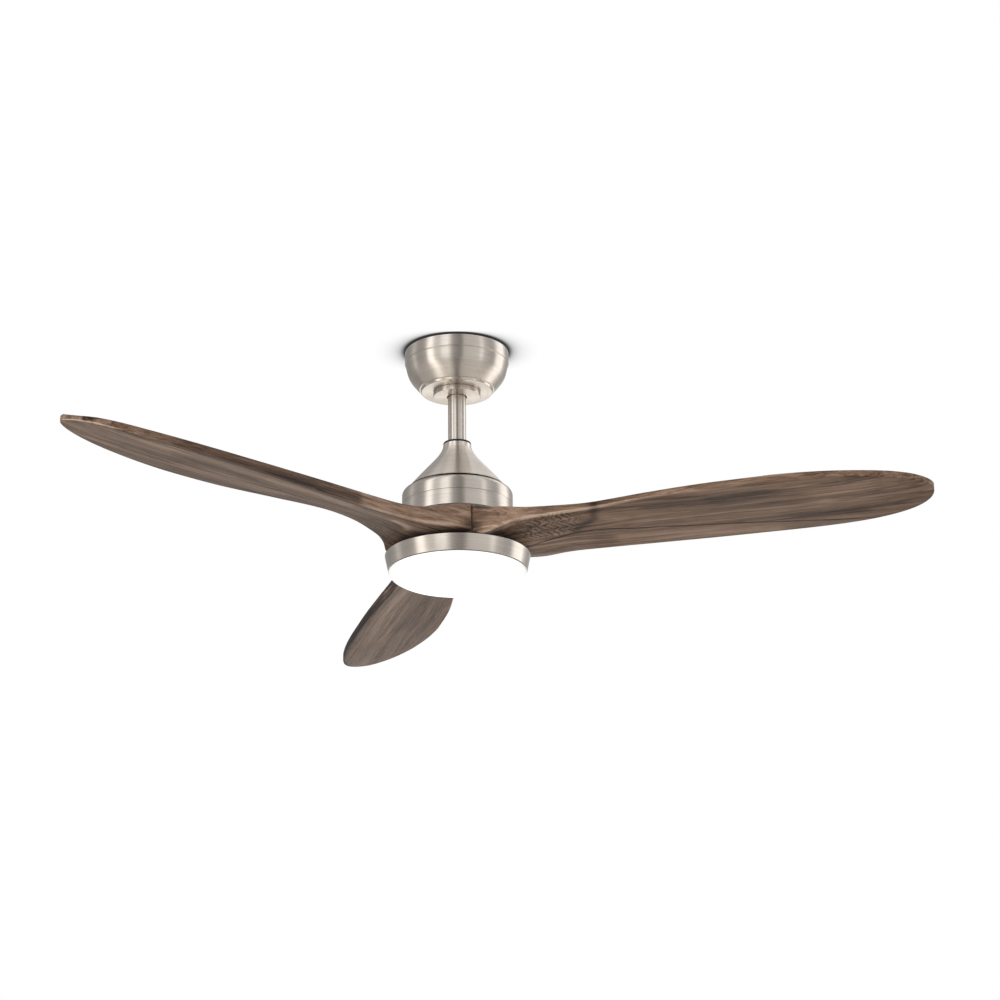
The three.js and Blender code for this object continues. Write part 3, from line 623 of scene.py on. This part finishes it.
def make_gasket():
    radius, low, high = extent("canopy_gasket")
    inner = 68
    turned("gasket", [(inner, low), (radius, low, 0.6), (radius, high, 0.6), (inner, high)],
           "ceiling_mount", "black_rubber", ["canopy_gasket"], 144)


make_canopy()
make_disc()
make_gasket()

# ---------------------------------------------------------------- rod, bell, housing


def make_rod():
    radius, low, high = extent("downrod")
    bore = radius - 1.8
    turned("rod_tube", [(bore, low, 0.3), (radius, low, 0.5), (radius, high, 0.5), (bore, high, 0.3)],
           "hanging_frame", "brushed_nickel", ["downrod"], 96)


NECK_BORE = 13.2     # round the rod


def make_neck_ring():
    _, low, high = extent("neck_ring")
    turned("rubber_neck_ring",
           [(NECK_BORE, low), (19.8, low, 0.5), (19.2, high, 0.9), (NECK_BORE, high, 0.4)],
           "hanging_frame", "black_rubber", ["neck_ring"], 96)


def make_bell():
    mouth, low, high = extent("coupling_cover")
    neck = 19.6
    flank = bezier([(mouth, low), (42, -175), (neck, -159), (neck, high)], 40)
    lift = 1.9     # leaves a dark gap above the housing
    outer = [(mouth - 3.4, low + lift), (mouth - 0.9, low + lift, 0.2)]
    outer += [p for p in flank[1:-1] if p[1] > low + lift] + [(neck, high, 0.5), (NECK_BORE, high, 0.2)]
    inside = [(max(r - 2.6, 16), z) for r, z in flank[::-3] if z > low + lift + 1]
    inside[0] = (NECK_BORE, high - SHEET)
    # The bell wears the lighter copy of the nickel, which is painted light.
    turned("bell_cover", outer + inside, "hanging_frame", "brushed_nickel", ["coupling_cover"], 160,
           finish="painted_light_nickel")


def make_housing():
    radius, low, high = extent("housing_upper")
    shoulder, hole = 7.6, 12
    arc = [(radius - shoulder + shoulder * math.cos(a), high - shoulder + shoulder * math.sin(a))
           for a in np.linspace(math.pi / 2, 0, 12)]
    turned("housing_top", [(hole, high)] + arc + [(radius, low, 0.35), (radius - SHEET, low)]
           + [(r - SHEET, z - 1.2) for r, z in arc[::-2]] + [(hole, high - SHEET)],
           "hanging_frame", "brushed_nickel", ["housing_upper"], 192)
    radius, low, high = extent("housing_lower")
    hole = 70.5
    turned("housing_skirt", [(hole, low), (radius, low, 0.8), (radius, high, 0.35), (radius - SHEET, high),
                             (radius - SHEET, low + SHEET), (hole, low + SHEET)],
           "hanging_frame", "brushed_nickel", ["housing_lower"], 192)


make_rod()
make_neck_ring()
make_bell()
make_housing()

# ---------------------------------------------------------------- light kit


def make_light_kit():
    radius, low, high = extent("light_ring")
    bottom, inner = 96.5, 90
    turned("ring_band", [(inner, high), (radius, high, 0.9), (bottom, low, 0.35), (bottom - 0.9, low, 0.2),
                         (radius - 2.1, high - SHEET), (inner, high - SHEET)],
           "hanging_frame", "brushed_nickel", ["light_ring"], 192)
    radius, low, high = extent("diffuser")
    rim, wall = 93.4, 2.2
    lip = COVER_EDGE - 0.7     # a dark line shows between the ring and the cover
    inner_lip = COVER_EDGE + 1
    face = [((radius - 0.5) * math.sin(a), lip + (low - lip) * math.cos(a))
            for a in np.linspace(0, math.pi / 2, 26)]
    back = [((rim - wall) * math.sin(a), inner_lip + (low + wall - inner_lip) * math.cos(a))
            for a in np.linspace(math.pi / 2, 0, 14)]
    turned("opal_cover", face + [(rim, lip + 0.1), (rim, high), (rim - wall, high)] + back,
           "diffuser_cover", "opal_diffuser", ["diffuser"], 160)


make_light_kit()

# ---------------------------------------------------------------- blades

# Each blade has its own place: u outward from the axis, v across it, and z up, in millimetres. The lists
# below are stations of (u, value). The three blades meet on seams 60 degrees to either side of u.
SEAM_U, SEAM_V = 39.5, 39.5 * math.sqrt(3)
SEAM_GAP = 1.8
HUB_TOP, HUB_EDGE, HUB_HOLE = -258.8, -294.0, 22.0
ROOT_AZIMUTH = -15.5     # where blade 1 points, in degrees
# Leading and trailing edge, slope across, underside at v = 0, and how high the two edge faces are.
LEAD = [(SEAM_U, -SEAM_V), (75, -63), (110, -57.5), (150, -51.5), (200, -51.5), (280, -67), (360, -79),
        (450, -84.5)]
TRAIL = [(SEAM_U, SEAM_V), (75, 63), (110, 57), (150, 49), (200, 46.5), (280, 48.5), (360, 50.5),
         (450, 49.3)]
TWIST = [(SEAM_U, 0), (55, 0), (75, 0.06), (110, 0.16), (150, 0.226), (200, 0.258), (280, 0.225),
         (360, 0.188), (450, 0.179), (560, 0.197), (660, 0.214)]
LIFT = [(SEAM_U, HUB_EDGE), (55, HUB_EDGE), (75, -292), (110, -290.4), (150, -287.8), (200, -286.9),
        (280, -287.2), (360, -287.8), (450, -288), (560, -287.1), (620, -285.2), (660, -283)]
LEAD_HEIGHT = [(SEAM_U, 36), (75, 26), (110, 16.5), (150, 11.8), (200, 8.8), (280, 7.9), (360, 9.3),
               (450, 10), (560, 9.2), (630, 9.2), (660, 7.5)]
TRAIL_HEIGHT = [(SEAM_U, 36), (55, 35), (75, 31), (110, 23.5), (150, 19.3), (200, 19), (280, 16.6),
                (360, 13.8), (450, 12.3), (560, 11.2), (630, 9.4), (660, 5.6)]
# Near the hub the leading edge's lower corner flares down and outward.
FLARE_DROP = [(SEAM_U, 2), (50, 6), (60, 9), (70, 8), (80, 4), (92, 0.8), (110, 0), (150, 0)]
FLARE_OUT = [(SEAM_U, 0), (50, 3), (60, 7), (70, 8), (80, 3), (92, 0.5), (110, 0), (150, 0)]
FLARE_SHARE = 0.25     # how far across the underside the flare reaches
# How far the top and the underside bulge.
CROWN = [(SEAM_U, 0), (75, 5), (110, 8), (200, 8), (360, 7), (450, 6.5), (660, 1.5)]
BELLY = [(SEAM_U, 4), (75, 4), (110, 3), (200, 1), (450, 0.6), (660, 0)]
# The outline beyond the last stations, as curves that end at the tip.
TIP = (659.5, -16.0)
LEAD_TIP = [(450, -84.5), (584, -84.5), (TIP[0], -42), TIP]
TRAIL_TIP = [(450, 49.3), (610, 46), (TIP[0], 24), TIP]


def along(stations, at):
    """A smooth value along a list of (position, value) stations."""
    x, y = np.array(stations, float).T
    at = np.asarray(at, float)
    last = len(x) - 1
    i = np.clip(np.searchsorted(x[1:-1], at), 0, last - 1)
    before, after = np.maximum(np.arange(last + 1) - 1, 0), np.minimum(np.arange(last + 1) + 1, last)
    slope = (y[after] - y[before]) / (x[after] - x[before])
    span = x[i + 1] - x[i]
    t = np.clip((at - x[i]) / span, 0, 1)
    rise = t * t * (3 - 2 * t)
    return (y[i] * (1 - rise) + y[i + 1] * rise
            + span * (slope[i] * t * (1 - t) ** 2 - slope[i + 1] * t * t * (1 - t)))


def blade_edges():
    """Pairs of edge points, leading and trailing, from the hub's seam to the tip."""
    waist, tip_start, last_share = 110, LEAD_TIP[0][0], 0.9985
    stations = np.concatenate([np.linspace(SEAM_U, waist, 36)[1:], np.linspace(waist, tip_start, 110)[1:]])
    pairs = [((u, float(along(LEAD, u))), (u, float(along(TRAIL, u)))) for u in stations]
    # Closer together towards the tip, and a little short of it, so that the end face has some width.
    shares = np.minimum(last_share, 1 - (1 - np.linspace(0, 1, 62)[1:]) ** 1.8 * 0.998)
    return pairs + [(bezier_at(LEAD_TIP, t), bezier_at(TRAIL_TIP, t)) for t in shares]


ACROSS = 46        # cells across the underside and across the top
WALL = 8           # cells up each edge face


def section_outline(u, v, corner):
    """One closed loop round the blade from points across it: underside, trailing wall, top and
    leading wall, with its corners rounded."""
    at = np.maximum(u, SEAM_U)
    w = np.linspace(0, 1, len(u))
    bow = np.sin(math.pi * w)
    under = along(LIFT, at) - v * along(TWIST, at)
    height = along(LEAD_HEIGHT, at) * (1 - w) + along(TRAIL_HEIGHT, at) * w
    bottom = under - along(BELLY, at) * np.minimum(1, 1.6 * bow)
    top = np.minimum(HUB_TOP, under + height + along(CROWN, at) * bow)
    lip = np.maximum(0, 1 - w / FLARE_SHARE) ** 2
    out = np.where(u >= SEAM_U, along(FLARE_OUT, at), 0)
    low = np.stack([u, v - lip * out, bottom - lip * along(FLARE_DROP, at)], 1)
    high = np.stack([u, v, top], 1)
    share = np.linspace(0, 1, WALL + 1)[1:-1, None]
    trail_wall = low[-1] * (1 - share) + high[-1] * share
    lead_wall = high[0] * (1 - share) + low[0] * share
    loop = np.concatenate([low, trail_wall, high[::-1], lead_wall])
    return soften(loop, corner, [0, len(u) - 1, len(u) - 1 + WALL, 2 * len(u) - 2 + WALL])


def soften(loop, corner, corners):
    """Rounds four corners of a loop: the corner and its neighbours move onto a short arc."""
    out = loop.copy()
    count = len(loop)
    for k in corners:
        here = loop[k]
        sides = []
        for step in (-1, 1):
            gap = loop[(k + step) % count] - here
            sides.append(gap / max(np.linalg.norm(gap), 1e-6))
        out[k] = here + corner * 0.25 * (sides[0] + sides[1])
        for side, step in zip(sides, (-1, 1)):
            out[(k + step) % count] = here + corner * side
    return out


def spaced(corner, width):
    """Shares across a section: the first and last cells are as wide as the rounded corner."""
    first = min(0.2, corner / max(width, 1e-6))
    return np.concatenate([[0], np.linspace(first, 1 - first, ACROSS - 1), [1]])


HUB_CORNER, BLADE_CORNER = 0.9, 1.5     # how far the corners are rounded


def blade_loops():
    """The blade's sections: a fan of them from the hub's hole to the seams, then one at each pair of
    edge points."""
    loops = []
    gap = SEAM_GAP / 2 / math.sin(math.pi / 3)
    for s in np.linspace(0, 1, 9):
        w = np.linspace(0, 1, ACROSS + 1)
        theta = np.arctan((2 * w - 1) * math.sqrt(3))
        rho = HUB_HOLE * (1 - s) + SEAM_U / np.cos(theta) * s
        u, v = rho * np.cos(theta), rho * np.sin(theta)
        v = v * (1 - gap * math.sqrt(3) / np.maximum(np.abs(v[0]), 1))
        loops.append(section_outline(u, v, HUB_CORNER))
    for lead, trail in blade_edges():
        width = math.dist(lead, trail)
        corner = min(BLADE_CORNER, 0.22 * width)
        w = spaced(corner, width)
        u = lead[0] + (trail[0] - lead[0]) * w
        v = lead[1] + (trail[1] - lead[1]) * w
        loops.append(section_outline(u, v, corner))
    return np.array(loops)


def stroke(u, v, path, width, strength):
    """A soft brush stroke along a path of (u, v) points: strength on the path, fading over the width."""
    path = np.array(path, float)
    best = np.full(u.shape, 1e9)
    for a, b in zip(path[:-1], path[1:]):
        run = b - a
        share = np.clip(((u - a[0]) * run[0] + (v - a[1]) * run[1]) / (run @ run), 0, 1)
        best = np.minimum(best, np.hypot(u - a[0] - share * run[0], v - a[1] - share * run[1]))
    return strength * np.exp(-(best / width) ** 2)


# Round the tip of blade 2 the strongest dark line keeps this far inside the trailing edge.
TIP_INSET = 1
TIP_CREASE = [(u, v - TIP_INSET) for u, v in bezier(TRAIL_TIP, 7)]

# The grain of each blade, in the blade's own millimetres. The tone strokes are broad strokes: a path of
# (u, v) points, the stroke's width, and how much lighter or darker it is; blade 3's first is a painted
# highlight. crease is where the strongest dark line runs. The two edge lists say how pale, a painted
# highlight, the underside's leading and trailing corners are along u.
# figured is the patch with the zigzag figure: u from, u to, v from, v to. streaky is the grain's strength.
BLADE_WOOD = {
    1: {"tones_and_painted_highlight": [([(210, -44), (330, -46), (470, -38)], 26, -0.15),
                  ([(230, 24), (330, 30), (440, 40)], 13, 0.24),
                  ([(470, -62), (560, -50), (620, -30)], 14, 0.10),
                  ([(470, 10), (560, 14)], 10, -0.14),
                  ([(260, -10), (400, -8), (520, -16)], 10, 0.10),
                  ([(206, -52), (200, -28), (170, -6)], 6, -0.34),
                  ([(205, -30), (240, -20)], 8, 0.10),
                  ([(110, 22), (180, 20)], 12, 0.08),
                  ([(70, -44), (110, -38), (180, -26)], 14, -0.13),
                  ([(66, -66), (120, -60)], 6, 0.12),
                  ([(160, 4), (200, 0)], 14, -0.07),
                  ([(590, -30), (640, -20)], 18, -0.12)],
        "crease": [(60, 18), (100, 15), (150, 3), (200, -1), (250, 4), (300, 8), (400, 16), (500, 29),
                   (660, 46)],
        "lead_painted_highlight": [(60, 0.1), (80, 0.3), (150, 0.5), (230, 0.45), (330, 0.1), (450, 0), (660, 0)],
        "trail_painted_highlight": [(60, 0), (660, 0)],
        "figured": (97, 182, -50, 0),
        "streaky": 1.0},
    2: {"tones_and_painted_highlight": [([(110, -30), (250, -30), (420, -30)], 22, -0.13),
                  ([(180, 28), (330, 22), (480, 12)], 16, 0.10),
                  ([(430, 52), (520, 47), (600, 38), (650, 16)], 5, -0.42),
                  ([(130, 52), (250, 48)], 4, 0.16),
                  ([(320, 51), (420, 52)], 4, -0.22),
                  ([(540, -20), (600, -20)], 16, -0.06),
                  ([(80, -40), (110, -30)], 16, -0.2)],
        "crease": [(60, 62), (110, 56), (150, 48), (200, 45.5), (280, 47.5), (360, 49.5)] + TIP_CREASE,
        "lead_painted_highlight": [(60, 0), (660, 0)],
        "trail_painted_highlight": [(60, 0), (660, 0)],
        "figured": None,
        "streaky": 0.6},
    # Blade 3's first stroke is a painted highlight: the pale scoop near the hub.
    3: {"tones_and_painted_highlight": [([(142, 24), (120, 22), (104, 8)], 6.5, 0.48),
                  ([(84, -58), (100, -30), (150, -8)], 20, -0.16),
                  ([(220, -44), (330, -56), (450, -58)], 14, -0.10),
                  ([(430, -24), (560, -22)], 6, -0.14),
                  ([(230, 26), (400, 28), (560, 22)], 12, 0.26),
                  ([(300, -26), (460, -30)], 15, 0.16),
                  ([(520, 2), (630, -8)], 22, 0.14),
                  ([(230, 53), (400, 57), (560, 54), (606, 46)], 8, -0.5),
                  ([(100, 66), (190, 50)], 6, 0.08),
                  ([(60, 66), (90, 62)], 10, 0.05)],
        "crease": [(60, 40), (110, 45), (160, 42), (200, 40.5), (280, 43), (360, 45), (450, 43.5), (560, 38),
                   (620, 26), (660, 6)],
        "lead_painted_highlight": [(60, 0), (660, 0)],
        "trail_painted_highlight": [(60, 0.2), (100, 0.45), (180, 0.3), (300, 0.1), (600, 0.1), (625, 0.6), (650, 0.9)],
        "figured": None,
        "streaky": 0.9},
}


def fades(value, edge, width):
    """1 well above an edge and 0 well below it."""
    return 1 / (1 + np.exp((edge - value) / width))


GAP_SHADE = 0.45
GAP_TOP, GAP_RADIUS = -280, 90     # the gap is below this height and within this radius


def gap_shade(u, v, z):
    """How dark the wood is in the narrow gap above the light ring."""
    below = np.clip((GAP_TOP - z) / 3, 0, 1)
    near = np.clip((GAP_RADIUS - np.hypot(u, v)) / 12, 0, 1)
    return GAP_SHADE * below * near


def paint(obj, points, is_wall, is_lead, is_trail, wood):
    """Stores where each point lies in the grain, for the walnut to read."""
    u, v, z = points.T
    # worn: the painted highlight along the underside's leading and trailing corners.
    worn = is_lead * along(wood["lead_painted_highlight"], u) + is_trail * along(wood["trail_painted_highlight"], u)
    # tone: the strokes, one of them a painted highlight, less the painted shade of the gap above the light
    # ring.
    tone = sum(stroke(u, v, *spec) for spec in wood["tones_and_painted_highlight"]) - gap_shade(u, v, z)
    crease = v - along(wood["crease"], u)
    # The grain bends round the waist and drifts slowly across the blade.
    bend = 5 * np.exp(-((u - 150) / 70) ** 2) * np.sign(v) + 0.02 * (u - 300)
    figured = np.zeros(len(u))
    if wood["figured"]:
        low, high, left, right = wood["figured"]
        slant = 0.25 * (v + 62)
        figured = (fades(u, low, 5) * (1 - fades(u + slant, high, 4))
                   * fades(v, left, 3) * (1 - fades(v, right, 3)))
    grain = np.stack([u, v + bend, z], 1) * MM
    attributes = obj.data.attributes
    vectors = attributes.new("grain", "FLOAT_VECTOR", "POINT").data
    vectors.foreach_set("vector", grain.astype(np.float32).ravel())
    for key, values in (("tone", tone), ("crease", crease * MM), ("figured", figured), ("wall", is_wall),
                        ("worn", worn)):
        attributes.new(key, "FLOAT", "POINT").data.foreach_set("value", np.asarray(values, np.float32))


def make_blade(number):
    """Carved walnut blade: blade 1 points at ROOT_AZIMUTH, the others follow every 120 degrees."""
    loops = blade_loops()
    rows, size, _ = loops.shape
    turn = math.radians(ROOT_AZIMUTH + 120 * (number - 1))
    verts = loops.reshape(-1, 3)
    faces = []
    for i in range(rows - 1):
        for k in range(size):
            j = (k + 1) % size
            faces.append((i * size + k, (i + 1) * size + k, (i + 1) * size + j, i * size + j))
    faces.append(tuple(range(size)))
    faces.append(tuple(range(rows * size - 1, (rows - 1) * size - 1, -1)))
    make_walnut(f"walnut_{number}", number, BLADE_WOOD[number]["streaky"])
    piece = new_piece(f"wood_blade_{number}", verts, faces, "rotor", "walnut", f"walnut_{number}", sharp=60)
    ring = np.arange(size)
    edge = ((ring > ACROSS) & (ring < ACROSS + WALL)) | (ring > 2 * ACROSS + WALL)
    lead_corner = (ring <= 1) | (ring == size - 1)
    trail_corner = (ring >= ACROSS - 1) & (ring <= ACROSS + 1)
    shares = [np.tile(here, rows).astype(float) for here in (edge, lead_corner, trail_corner)]
    paint(piece, verts, *shares, BLADE_WOOD[number])
    piece.data.transform(Matrix.Rotation(turn, 4, "Z"))
    piece.visible_glossy = False     # the metal does not mirror the wood
    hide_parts(f"blade_{number}")
    return piece


for number in (1, 2, 3):
    make_blade(number)

# ---------------------------------------------------------------- carried-over nodes

slots = {part["node"]: part["material_slot"] for part in frame["record"]["subparts"]}
for name, node in frame["nodes"].items():
    if not node.hide_render:
        for material_slot in node.material_slots:
            material_slot.material = materials[slots[name]]
